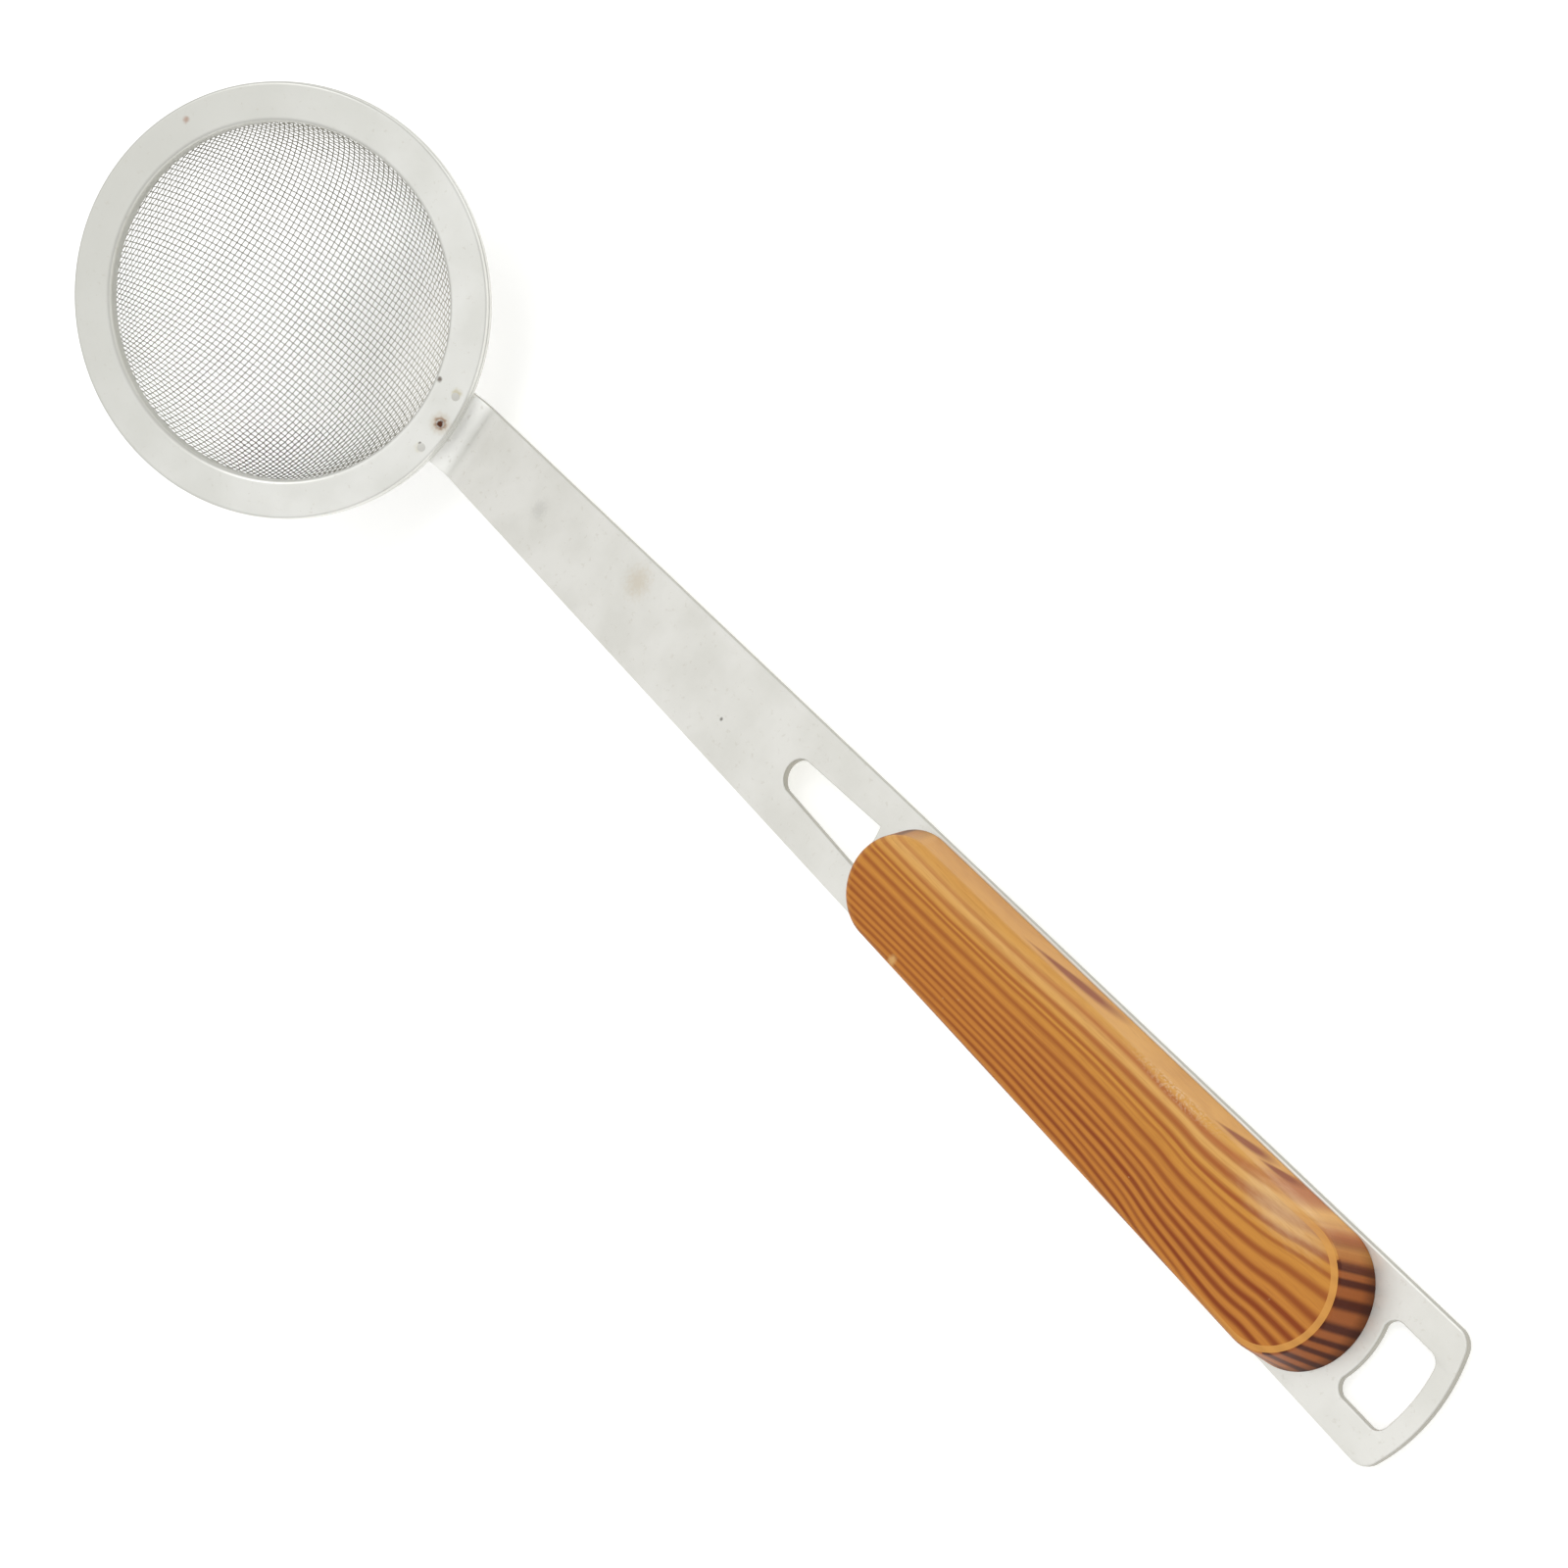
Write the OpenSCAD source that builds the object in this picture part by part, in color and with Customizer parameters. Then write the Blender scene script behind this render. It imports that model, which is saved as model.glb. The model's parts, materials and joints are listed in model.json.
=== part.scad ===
// Long-handled tea strainer. A bowl of woven steel wire is clamped and spot welded between two
// rings, on a bent flat steel handle with a wooden scale screwed to its upper face.
// It lies as it does when it is put down, on the bottom of the bowl and the end of the handle.
// Millimetres, +Z up. The origin is under the middle of the strainer, on the surface it lies on.

/* [Rim] */
// Diameter of the bowl's open mouth, inside the collar
mouth_d = 61.2; // [50:0.1:80]
// Width of the flat rim, from the mouth to the outer edge
rim_w = 6.9; // [6:0.1:12]
// Thickness of the upper ring's flange
flange_t = 0.9; // [0.7:0.05:1.6]
// Wall of the collar that the upper ring turns down into the bowl
collar_wall = 0.6; // [0.4:0.05:0.9]
// Depth of the collar below the rim's top face
collar_depth = 3; // [2.4:0.1:5]
// Rounding where the flange turns down into the collar
mouth_round = 0.9; // [0.3:0.05:1.4]
// Rounding of the upper ring's outer shoulder
shoulder_round = 0.55; // [0.2:0.05:0.65]
// How far the upper ring's edge stands back from the lower ring's edge
upper_setback = 0.1; // [0:0.05:0.5]
// Thickness of the lower ring
lower_t = 1.2; // [1:0.05:2]
// Rounding of the lower ring's outer corners
lower_round = 0.3; // [0.1:0.05:0.45]

/* [Wire cloth bowl] */
// Thickness of the woven cloth, two crossed wires pressed together
cloth_t = 0.4; // [0.3:0.05:0.6]
// Clearance between the cloth and the metal on each side of it
cloth_gap = 0.05; // [0.02:0.01:0.15]
// How far the cloth is trimmed back from the rim's outer edge
cloth_trim = 1.1; // [0.5:0.1:1.6]
// Depth of the bowl's centre below the rim's top face
bowl_drop = 0.7; // [0.3:0.1:1.5]

/* [Spot welds] */
// Diameter of a weld nugget
weld_d = 1.8; // [1.2:0.1:2.4]
// Distance of the row of welds from the rim's outer edge
weld_inset = 2.2; // [1.8:0.1:2.6]
// Distance of the outer two welds from the sides of the handle
weld_edge = 1.8; // [1.5:0.1:3]
// Depth of the dimple that the electrode leaves over each nugget
weld_dimple = 0.08; // [0.02:0.02:0.2]
// Clearance between a nugget and its bores
weld_gap = 0.02; // [0.01:0.01:0.05]

/* [Handle strap] */
// Thickness of the strap
strap_t = 1.5; // [1.2:0.1:2.5]
// Angle that the handle rises at from the plane of the rim
strap_pitch = 32.7; // [20:0.1:45]
// Inside radius of the bend outside the rim
bend_r = 7; // [3:0.5:14]
// Distance from the lower ring's inner edge to the end of the tab under it
tab_setback = 0.9; // [0.3:0.1:1.5]
// Width of the strap at the rim
root_w = 14.3; // [12:0.1:18]
// Width of the strap at its far end
end_w = 23.5; // [20:0.1:30]
// Radius of the arc across the far end
end_r = 28; // [20:0.5:60]
// Radius of the corners of the far end
end_corner_r = 3; // [1.5:0.1:5]

/* [Slot] */
// Distance from the bend to the slot
slot_start = 97.6; // [60:0.5:140]
// Length of the slot
slot_len = 21.3; // [14:0.1:40]
// Width of the slot at its round end
slot_narrow_w = 5.7; // [4.5:0.1:7]
// Width of the slot at its square end
slot_wide_w = 7.5; // [7.1:0.1:9]
// How far the slot's square end bulges
slot_bulge = 0.5; // [0.2:0.1:1.2]

/* [Hang hole] */
// Distance from the wooden scale to the hole
hole_to_grip = 1.7; // [1:0.1:6]
// Length of the hole along the handle
hole_len = 9.5; // [7:0.1:14]
// Width of the hole across the handle
hole_w = 13.1; // [9:0.1:15]
// Radius of the corners of the hole
hole_corner_r = 1.9; // [1:0.1:2.4]
// How far the hole's inner edge bulges into it
hole_bulge = 0.7; // [0.3:0.1:1.2]
// Metal between the hole and the far end of the handle
hole_to_end = 3.2; // [2:0.1:8]

/* [Wooden scale] */
// Distance from the slot to the scale
grip_to_slot = 1.3; // [0.5:0.1:20]
// Length of the scale
grip_len = 109.2; // [80:0.1:150]
// Thickness of the scale
grip_t = 7; // [5.5:0.1:12]
// Distance of the scale's foot from each side of the strap
grip_inset = 0.45; // [0.2:0.05:1.5]
// How far the scale's walls lean in from foot to top
grip_draft = 1.3; // [0.2:0.1:2.5]
// Radius of the scale's rounded ends, over half its width there
grip_end_ratio = 1.03; // [1.02:0.01:1.2]

/* [Screws under the scale] */
// Diameter of the screws' shanks
screw_d = 2.5; // [2:0.1:3]
// Diameter of the countersunk heads
head_d = 4.4; // [4:0.1:4.8]
// Distance of each screw from the end of the scale
screw_inset = 20; // [10:1:38]
// Wood left over the tip of a screw
screw_cover = 1.2; // [0.8:0.1:2.5]
// Width of the straight slot in a head
drive_w = 0.7; // [0.5:0.1:1]
// Depth of the straight slot in a head
drive_depth = 0.4; // [0.2:0.05:0.5]
// Clearance round a screw, and past its tip
screw_gap = 0.05; // [0.02:0.01:0.1]

/* [Hidden] */
$fn = 96;

// Amount by which a cutting shape passes the faces that it cuts
past = 1;
// Most degrees that one flat of the strap's outline may turn through
arc_step = 3;
// Overlap that makes one solid of the strap's flat and bent lengths
lap = 0.02;

steel = [0.78, 0.78, 0.77];
cloth_grey = [0.62, 0.61, 0.58];
weld_brown = [0.36, 0.25, 0.18];
pine = [0.80, 0.56, 0.28];
screw_grey = [0.58, 0.57, 0.55];

mouth_r = mouth_d / 2;
rim_r = mouth_r + rim_w;
upper_r = rim_r - upper_setback;
collar_r = mouth_r + collar_wall;

// Heights down the clamped rim, measured from its top face
seam = cloth_t + 2 * cloth_gap;
lower_top = -flange_t - seam;
lower_bottom = lower_top - lower_t;

// The bowl is part of a sphere whose inside just clears the foot of the collar
bowl_in_r = norm([collar_r + cloth_gap, collar_depth - bowl_drop]);
bowl_out_r = bowl_in_r + cloth_t;
lower_in_r = bowl_out_r + cloth_gap;

// The bend starts at the rim's edge; the handle is measured from the corner that it rounds off
bend_run = bend_r * tan(strap_pitch / 2);
corner_x = rim_r + bend_run;

slot_end = slot_start + slot_len;
grip_start = slot_end + grip_to_slot;
grip_end = grip_start + grip_len;
hole_start = grip_end + hole_to_grip;
hole_end = hole_start + hole_len;
strap_len = hole_end + hole_to_end;

// Taper of the strap, and the slant length of its sides for each millimetre of handle
taper = (end_w - root_w) / 2 / (strap_len - bend_run);
slant = norm([1, taper]);
function strap_half(s) = root_w / 2 + taper * (s - bend_run);
function grip_half(s) = strap_half(s) - grip_inset;

// Centre of a corner arc of radius r that touches the tapered side and the end arc.
// half is the side's distance from the middle line at s = 0, centre the end arc's centre.
function corner_s(half, centre, arc_r, r) =
    let (a = half - r * slant, b = a * taper - centre,
         c = centre * centre + a * a - (arc_r - r) * (arc_r - r))
    (-b + sqrt(b * b - slant * slant * c)) / (slant * slant);
function corner_v(half, s, r) = half + taper * s - r * slant;

weld_r = rim_r - weld_inset;
weld_y = root_w / 2 - weld_edge;
welds = [for (y = [-weld_y, 0, weld_y]) [sqrt(weld_r * weld_r - y * y), y]];

screw_tip = grip_t - screw_cover;
head_h = (head_d - screw_d) / 2;
screws = [grip_start + screw_inset, grip_end - screw_inset];

// Resting on the bowl and the lower edge of the handle's end turns the rim by this much
rest_x = corner_x + strap_len * cos(strap_pitch) + strap_t * sin(strap_pitch);
rest_z = lower_bottom + strap_len * sin(strap_pitch) - strap_t * cos(strap_pitch);
rest_dz = rest_z + bowl_drop;
lie = atan2(rest_dz, rest_x) + asin(bowl_out_r / norm([rest_x, rest_dz]));

// Where a point of the rim's own frame comes to lie along X
function lain_x(x, z) = x * cos(lie) + z * sin(lie);
far_x = max(lain_x(rest_x, rest_z),
            lain_x(corner_x + strap_len * cos(strap_pitch),
                   lower_bottom + strap_len * sin(strap_pitch)));
near_x = lain_x(-(rim_r - lower_round), lower_bottom + lower_round) - lower_round;

// Puts a child drawn in the rim's frame, with its top face at z = 0, into the lying place
module lain() {
    translate([-(near_x + far_x) / 2, 0, bowl_out_r + bowl_drop * cos(lie)])
        rotate([0, lie, 0]) children();
}

// Turns a child drawn on the handle, with X along it and z = 0 at its upper face, to the rim
module raised() {
    translate([corner_x, 0, lower_bottom]) rotate([0, -strap_pitch, 0]) children();
}

module weld_bores(r) {
    for (w = welds) translate([w[0], w[1], lower_bottom - strap_t - past])
        cylinder(h = strap_t - lower_bottom + 2 * past, r = r);
}

// The corner outside a rounding of radius r, towards -X or +X and up, with its centre at (x, z)
module corner_off(x, z, r, side) {
    translate([x, z]) difference() {
        translate([side < 0 ? -r - past : 0, 0]) square(r + past);
        circle(r);
    }
}

module upper_profile() {
    difference() {
        union() {
            translate([mouth_r, -flange_t]) square([upper_r - mouth_r, flange_t]);
            translate([mouth_r, -collar_depth]) square([collar_wall, collar_depth]);
        }
        corner_off(mouth_r + mouth_round, -mouth_round, mouth_round, -1);
        corner_off(upper_r - shoulder_round, -shoulder_round, shoulder_round, 1);
    }
}

module rim_upper_ring() {
    color(steel) lain() difference() {
        rotate_extrude() upper_profile();
        weld_bores(weld_d / 2 + weld_gap);
    }
}

module lower_profile() {
    translate([lower_in_r, lower_bottom]) square([rim_r - lower_round - lower_in_r, lower_t]);
    translate([lower_in_r, lower_bottom + lower_round])
        square([rim_r - lower_in_r, lower_t - 2 * lower_round]);
    for (z = [lower_bottom + lower_round, lower_top - lower_round])
        translate([rim_r - lower_round, z]) circle(lower_round);
}

module rim_lower_ring() {
    color(steel) lain() difference() {
        rotate_extrude() lower_profile();
        weld_bores(weld_d / 2 + weld_gap);
    }
}

module cloth_profile() {
    top = -flange_t - cloth_gap;
    intersection() {
        translate([0, -bowl_drop]) difference() {
            circle(bowl_out_r);
            circle(bowl_in_r);
        }
        translate([0, top - 2 * bowl_out_r]) square([2 * bowl_out_r, 2 * bowl_out_r]);
    }
    translate([bowl_in_r, top - cloth_t]) square([rim_r - cloth_trim - bowl_in_r, cloth_t]);
}

module mesh_bowl() {
    color(cloth_grey) lain() difference() {
        rotate_extrude() cloth_profile();
        weld_bores(weld_d / 2 + cloth_gap);
    }
}

module spot_welds() {
    color(weld_brown) lain() for (w = welds)
        translate([w[0], w[1], lower_bottom - strap_t + weld_dimple])
            cylinder(h = strap_t - lower_bottom - 2 * weld_dimple, r = weld_d / 2);
}

function on_arc(c, r, d) = c + r * [cos(d), sin(d)];
// Points of an arc round c from direction from to direction to, leaving out the last of them
function arc(c, r, from, to) =
    let (n = ceil(abs(to - from) / arc_step))
    [for (i = [0:n - 1]) on_arc(c, r, from + (to - from) * i / n)];

// Arc of radius arc_r across the end of a tapered plate, out as far as its corner arcs
module end_fan(centre, arc_r, cs, cv) {
    reach = 2 * arc_r / norm([cs - centre, cv]);
    intersection() {
        translate([centre, 0]) circle(arc_r);
        polygon([[centre, 0], [centre + reach * (cs - centre), reach * cv],
                 [centre + reach * (cs - centre), -reach * cv]]);
    }
}

module strap_outline() {
    centre = strap_len - end_r;
    half = strap_half(0);
    cs = corner_s(half, centre, end_r, end_corner_r);
    cv = corner_v(half, cs, end_corner_r);
    fan = atan2(cv, cs - centre);
    side = 90 + atan(taper);
    near_s = bend_run - lap;
    polygon(concat([[near_s, root_w / 2], [bend_run, root_w / 2]],
                   arc([cs, cv], end_corner_r, side, fan),
                   arc([centre, 0], end_r, fan, -fan),
                   arc([cs, -cv], end_corner_r, -fan, -side),
                   [on_arc([cs, -cv], end_corner_r, -side),
                    [bend_run, -root_w / 2], [near_s, -root_w / 2]]));
}

// Long slot with one round end; its sides run on to the corners of a gently bulging square end
module slot_outline() {
    r = slot_narrow_w / 2;
    run = slot_len - slot_bulge - r;
    half = slot_wide_w / 2;
    touch = atan2(half, run) + acos(r / norm([run, half]));
    bulge_r = (half * half + slot_bulge * slot_bulge) / (2 * slot_bulge);
    translate([slot_start + r, 0]) {
        circle(r);
        polygon([[r * cos(touch), r * sin(touch)], [run, half], [run, -half],
                 [r * cos(touch), -r * sin(touch)]]);
        intersection() {
            translate([run + slot_bulge - bulge_r, 0]) circle(bulge_r);
            translate([run, -half]) square([bulge_r, slot_wide_w]);
        }
    }
}

// Wide hole whose outer edge runs along the handle's end and whose inner edge bulges into it
module hole_outline() {
    centre = strap_len - end_r;
    arc_r = end_r - hole_to_end;
    lobe_v = hole_w / 2 - hole_corner_r;
    in_s = hole_start + hole_corner_r;
    out_s = centre + sqrt((arc_r - hole_corner_r) * (arc_r - hole_corner_r) - lobe_v * lobe_v);
    bulge_r = (lobe_v * lobe_v + hole_bulge * hole_bulge) / (2 * hole_bulge);
    difference() {
        union() {
            for (s = [in_s, out_s], side = [-1, 1])
                translate([s, side * lobe_v]) circle(hole_corner_r);
            translate([in_s, -hole_w / 2]) square([out_s - in_s, hole_w]);
            translate([hole_start, -lobe_v]) square([out_s - hole_start, 2 * lobe_v]);
            end_fan(centre, arc_r, out_s, lobe_v);
        }
        translate([hole_start + hole_bulge - bulge_r, 0]) circle(bulge_r);
    }
}

// Side view of the tab under the rim and the bend after it, with X along and Y up
module tab_profile() {
    tab_x = lower_in_r + tab_setback;
    outer_r = bend_r + strap_t;
    translate([tab_x, lower_bottom - strap_t]) square([rim_r - tab_x + lap, strap_t]);
    translate([rim_r, lower_bottom + bend_r]) difference() {
        intersection() {
            circle(outer_r);
            polygon([[0, 0], [0, -2 * outer_r],
                     2 * outer_r * [sin(strap_pitch), -cos(strap_pitch)]]);
        }
        circle(bend_r);
    }
}

module screw_holes() {
    for (s = screws) translate([s, 0, -strap_t]) {
        translate([0, 0, -past]) cylinder(h = strap_t + 2 * past, r = screw_d / 2 + screw_gap);
        cylinder(h = head_h, r1 = head_d / 2 + screw_gap, r2 = screw_d / 2 + screw_gap);
    }
}

module handle_strap() {
    color(steel) lain() difference() {
        union() {
            rotate([90, 0, 0]) linear_extrude(root_w, center = true) tab_profile();
            raised() translate([0, 0, -strap_t]) linear_extrude(strap_t) difference() {
                strap_outline();
                slot_outline();
                hole_outline();
            }
        }
        weld_bores(weld_d / 2 + weld_gap);
        raised() screw_holes();
    }
}

// What a rounded end of the scale leaves off: all beyond its centre s, to the side dir, but for
// a cone frustum of radius r at the foot that leans in with the draft
module end_off(s, r, dir) {
    translate([s, 0, 0]) difference() {
        translate([dir < 0 ? -2 * r : 0, -2 * r, -past]) cube([2 * r, 4 * r, grip_t + 2 * past]);
        cylinder(h = grip_t, r1 = r, r2 = r - grip_draft);
    }
}

module grip_block() {
    near_r = grip_half(grip_start) * grip_end_ratio / (slant - taper);
    far_r = grip_half(grip_end) * grip_end_ratio / (slant + taper);
    difference() {
        translate([grip_start, -end_w, 0]) cube([grip_len, 2 * end_w, grip_t]);
        for (m = [0, 1]) mirror([0, m, 0]) translate([0, grip_half(0), 0])
            rotate([0, 0, atan(taper)]) rotate([atan(grip_draft / grip_t), 0, 0])
                translate([0, 0, -grip_t]) cube([2 * grip_end, 2 * end_w, 4 * grip_t]);
        end_off(grip_start + near_r, near_r, -1);
        end_off(grip_end - far_r, far_r, 1);
    }
}

module grip_scale() {
    color(pine) lain() raised() difference() {
        grip_block();
        for (s = screws) translate([s, 0, -past])
            cylinder(h = screw_tip + screw_gap + past, r = screw_d / 2 + screw_gap);
    }
}

module grip_screws() {
    tip_h = screw_d / 2;
    point_r = screw_d / 10;
    color(screw_grey) lain() raised() for (s = screws) translate([s, 0, 0]) difference() {
        union() {
            translate([0, 0, -strap_t]) cylinder(h = head_h, r1 = head_d / 2, r2 = screw_d / 2);
            translate([0, 0, -strap_t]) cylinder(h = strap_t + screw_tip - tip_h, r = screw_d / 2);
            translate([0, 0, screw_tip - tip_h])
                cylinder(h = tip_h, r1 = screw_d / 2, r2 = point_r);
        }
        translate([-head_d, -drive_w / 2, -strap_t - past])
            cube([2 * head_d, drive_w, drive_depth + past]);
    }
}

rim_upper_ring();
rim_lower_ring();
mesh_bowl();
spot_welds();
handle_strap();
grip_scale();
grip_screws();
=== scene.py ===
import json
import math

import bpy
from mathutils import Matrix, Vector


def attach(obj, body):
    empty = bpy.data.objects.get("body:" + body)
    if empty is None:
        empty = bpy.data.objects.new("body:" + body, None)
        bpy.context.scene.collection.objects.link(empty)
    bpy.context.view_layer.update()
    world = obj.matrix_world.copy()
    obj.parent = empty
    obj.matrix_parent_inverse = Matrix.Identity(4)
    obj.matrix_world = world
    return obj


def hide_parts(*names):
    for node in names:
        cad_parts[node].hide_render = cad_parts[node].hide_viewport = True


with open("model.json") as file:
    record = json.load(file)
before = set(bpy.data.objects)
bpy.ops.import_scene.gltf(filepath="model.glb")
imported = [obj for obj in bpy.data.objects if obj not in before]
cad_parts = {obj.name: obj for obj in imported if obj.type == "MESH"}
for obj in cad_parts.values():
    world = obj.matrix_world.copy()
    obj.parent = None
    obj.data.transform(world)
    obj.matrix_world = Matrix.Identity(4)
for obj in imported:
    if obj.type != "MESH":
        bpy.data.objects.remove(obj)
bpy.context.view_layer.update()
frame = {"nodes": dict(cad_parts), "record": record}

# Pieces are modelled in millimetres in the frame of the rim or of the handle, then put in place.
# Rim: origin at the middle of the rim's top face, Z out of the bowl's mouth, X to the handle.
# Handle: X along it from the bend, Z out of its upper face, Y across.
MM = 0.001

# The clamped rim
MOUTH_R, UPPER_R, RIM_R = 30.6, 37.4, 37.5
FLANGE, SEAM, LOWER = 0.9, 0.5, 1.2
COLLAR_WALL, COLLAR_DEPTH = 0.6, 3.0
LOWER_TOP = -(FLANGE + SEAM)
LOWER_BOTTOM = LOWER_TOP - LOWER

# The wire cloth: a ball's radius, its drop below the rim's top face, its brim and its wires
CLOTH_R, BOWL_DROP, CLOTH_TOP = 31.53, 0.7, -1.15
BRIM_R, BRIM_T = 36.4, 0.4
WIRE_R = 0.09
WARP_PITCH, WEFT_PITCH = 1.0, 1.1
CLOTH_GAP = 0.05
LOWER_INNER_R = CLOTH_R + 2 * WIRE_R + CLOTH_GAP

# The handle, with lengths along it from the bend
STRAP_T, STRAP_EDGE = 1.5, 0.28
PITCH = math.radians(32.7)
BEND_R = 7.0
BEND_RUN = BEND_R * math.tan(PITCH / 2)
TAB_SETBACK, TAB_CORNER = 0.9, 0.8
ROOT_W, END_W, STRAP_LEN = 14.3, 23.5, 243.8
TAPER = (END_W - ROOT_W) / 2 / (STRAP_LEN - BEND_RUN)
SQUARE_OFF = 90 + math.degrees(math.atan(TAPER))
END_R, END_CORNER = 28.0, 3.0
SLOT_START, SLOT_LEN = 97.6, 21.3
SLOT_NARROW, SLOT_WIDE, SLOT_BULGE = 5.7, 7.5, 0.5
HOLE_START, HOLE_LEN, HOLE_W = 231.1, 9.5, 13.1
HOLE_CORNER, HOLE_BULGE = 1.9, 0.7
HANG_AT = 235.5

# The wooden scale and the welds
GRIP_START, GRIP_END, GRIP_T, GRIP_INSET = 120.2, 229.4, 7.0, 0.45
WELD_R, WELD_Y, NUGGET_R = 35.3, 5.35, 0.9

# How the pine's growth layers run: lean per mm of height, bow and fanning over the scale's
# length, and lines of summer wood counted across it
GRAIN_LEAN = 0.08
GRAIN_BOW = ((0, -0.9), (0.28, -0.45), (0.49, 0), (0.64, -0.45), (0.74, -1.35), (0.82, -1.4),
             (0.9, -0.55), (1, 0.15))
GRAIN_FAN = ((0, 0.95), (0.28, 0.9), (0.49, 1.0), (0.64, 1.07), (0.74, 1.2), (0.82, 1.38),
             (0.9, 1.6), (1, 1.95))
GRAIN_RINGS = ((0, 0), (0.118, 2), (0.258, 5), (0.36, 7), (0.469, 9), (0.549, 10), (0.618, 11),
               (0.658, 12), (0.729, 13), (0.822, 14), (0.911, 15), (1, 16))


def deselect():
    if bpy.context.object and bpy.context.object.mode != "OBJECT":
        bpy.ops.object.mode_set(mode="OBJECT")
    bpy.ops.object.select_all(action="DESELECT")


def mount(name):
    return next(m for m in frame["record"]["mounts"] if m["name"] == name)


def local_frame(point, normal, origin):
    """Millimetre frame with Z along normal, in which the given point lies at origin."""
    z = Vector(normal).normalized()
    y = Vector((0, 1, 0))
    turn = Matrix((y.cross(z), y, z)).transposed()
    place = Matrix.Translation(Vector(point) - turn @ (Vector(origin) * MM))
    return place @ turn.to_4x4() @ Matrix.Scale(MM, 4)


mouth, hang = mount("bowl_mouth"), mount("hang_hole")
RIM = local_frame(mouth["pos_m"], mouth["axis"], (0, 0, -(FLANGE + COLLAR_DEPTH) / 2))
HANDLE = local_frame(hang["pos_m"], hang["axis"], (HANG_AT, 0, -STRAP_T / 2))


def even_shading(obj):
    """Keeps the broad flat faces flat to the eye, right up to their rounded edges."""
    weigh = obj.modifiers.new("weighted normals", "WEIGHTED_NORMAL")
    weigh.keep_sharp = True
    bpy.ops.object.modifier_apply(modifier=weigh.name)


def finish(obj, place, slot_name, *nodes, smooth=35, flats=True):
    """Puts a piece modelled in millimetres in its place, for good, and hands it to the frame."""
    deselect()
    obj.select_set(True)
    bpy.context.view_layer.objects.active = obj
    obj.matrix_world = place @ obj.matrix_world
    bpy.ops.object.transform_apply(location=True, rotation=True, scale=True)
    bpy.ops.object.shade_smooth_by_angle(angle=math.radians(smooth))
    if flats:
        even_shading(obj)
    obj.data.name = obj.name
    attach(obj, "root")
    if nodes:
        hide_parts(*nodes)
    return obj


def pick_edges(obj, test):
    """Selects the edges whose two ends pass a test, and nothing else."""
    bpy.ops.object.mode_set(mode="EDIT")
    bpy.ops.mesh.select_mode(type="EDGE")
    bpy.ops.mesh.select_all(action="DESELECT")
    bpy.ops.object.mode_set(mode="OBJECT")
    for edge in obj.data.edges:
        edge.select = all(test(obj.data.vertices[i].co) for i in edge.vertices)
    bpy.ops.object.mode_set(mode="EDIT")


def mark(obj, name, value):
    """Stores a value for each face, worked out from its outward direction."""
    layer = obj.data.attributes.new(name, "FLOAT", "FACE")
    for face, item in zip(obj.data.polygons, layer.data):
        item.value = value(face.normal)


def turned(name, corners, rounds, steps=240):
    """A ring turned from the (radius, height) corners of its section, some of them rounded."""
    deselect()
    r, z = corners[0]
    bpy.ops.mesh.primitive_circle_add(vertices=steps, radius=r, location=(0, 0, 0))
    obj = bpy.context.object
    obj.name = name
    bpy.ops.object.mode_set(mode="EDIT")
    bpy.ops.mesh.select_all(action="SELECT")
    bpy.ops.transform.translate(value=(0, 0, z))
    for (r0, z0), (r1, z1) in zip(corners, corners[1:] + corners[:1]):
        bpy.ops.mesh.extrude_edges_move(TRANSFORM_OT_translate={"value": (0, 0, z1 - z0)})
        bpy.ops.transform.resize(value=(r1 / r0, r1 / r0, 1), center_override=(0, 0, 0))
    bpy.ops.mesh.select_all(action="SELECT")
    bpy.ops.mesh.remove_doubles(threshold=0.001)
    bpy.ops.mesh.normals_make_consistent(inside=False)
    for (r, z), size, cuts in rounds:
        pick_edges(obj, lambda co: abs(math.hypot(co.x, co.y) - r) + abs(co.z - z) < 0.01)
        bpy.ops.mesh.bevel(offset=size, offset_type="OFFSET", segments=cuts, affect="EDGES")
    bpy.ops.object.mode_set(mode="OBJECT")
    return obj


def arc(x, y, r, start, end, most=4):
    """Points of an arc round (x, y), in degrees, with its last point left out."""
    n = max(1, math.ceil(abs(end - start) / most))
    turns = [math.radians(start + (end - start) * i / n) for i in range(n)]
    return [(x + r * math.cos(a), y + r * math.sin(a)) for a in turns]


def add_line(curve, points, closed=False):
    line = curve.splines.new("POLY")
    line.points.add(len(points) - 1)
    for point, place in zip(line.points, points):
        point.co = (*place, 1)
    line.use_cyclic_u = closed


def to_mesh(name, curve):
    """Makes a mesh piece of a curve."""
    deselect()
    obj = bpy.data.objects.new(name, curve)
    bpy.context.collection.objects.link(obj)
    obj.select_set(True)
    bpy.context.view_layer.objects.active = obj
    bpy.ops.object.convert(target="MESH")
    return bpy.context.object


def plate(name, loops, thick, edge):
    """A flat piece cut to closed outlines, with its top at height 0 and its edges rounded."""
    curve = bpy.data.curves.new(name, "CURVE")
    curve.dimensions = "2D"
    curve.fill_mode = "BOTH"
    curve.extrude = thick / 2 - edge
    curve.bevel_depth = edge
    curve.bevel_resolution = 2
    curve.offset = -edge
    for loop in loops:
        add_line(curve, [(x, y, 0) for x, y in loop], closed=True)
    obj = to_mesh(name, curve)
    bpy.ops.object.mode_set(mode="EDIT")
    bpy.ops.mesh.select_all(action="SELECT")
    bpy.ops.transform.translate(value=(0, 0, -thick / 2))
    bpy.ops.mesh.remove_doubles(threshold=0.001)
    bpy.ops.mesh.normals_make_consistent(inside=False)
    bpy.ops.object.mode_set(mode="OBJECT")
    return obj


# ---------------------------------------------------------------- rim


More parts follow.
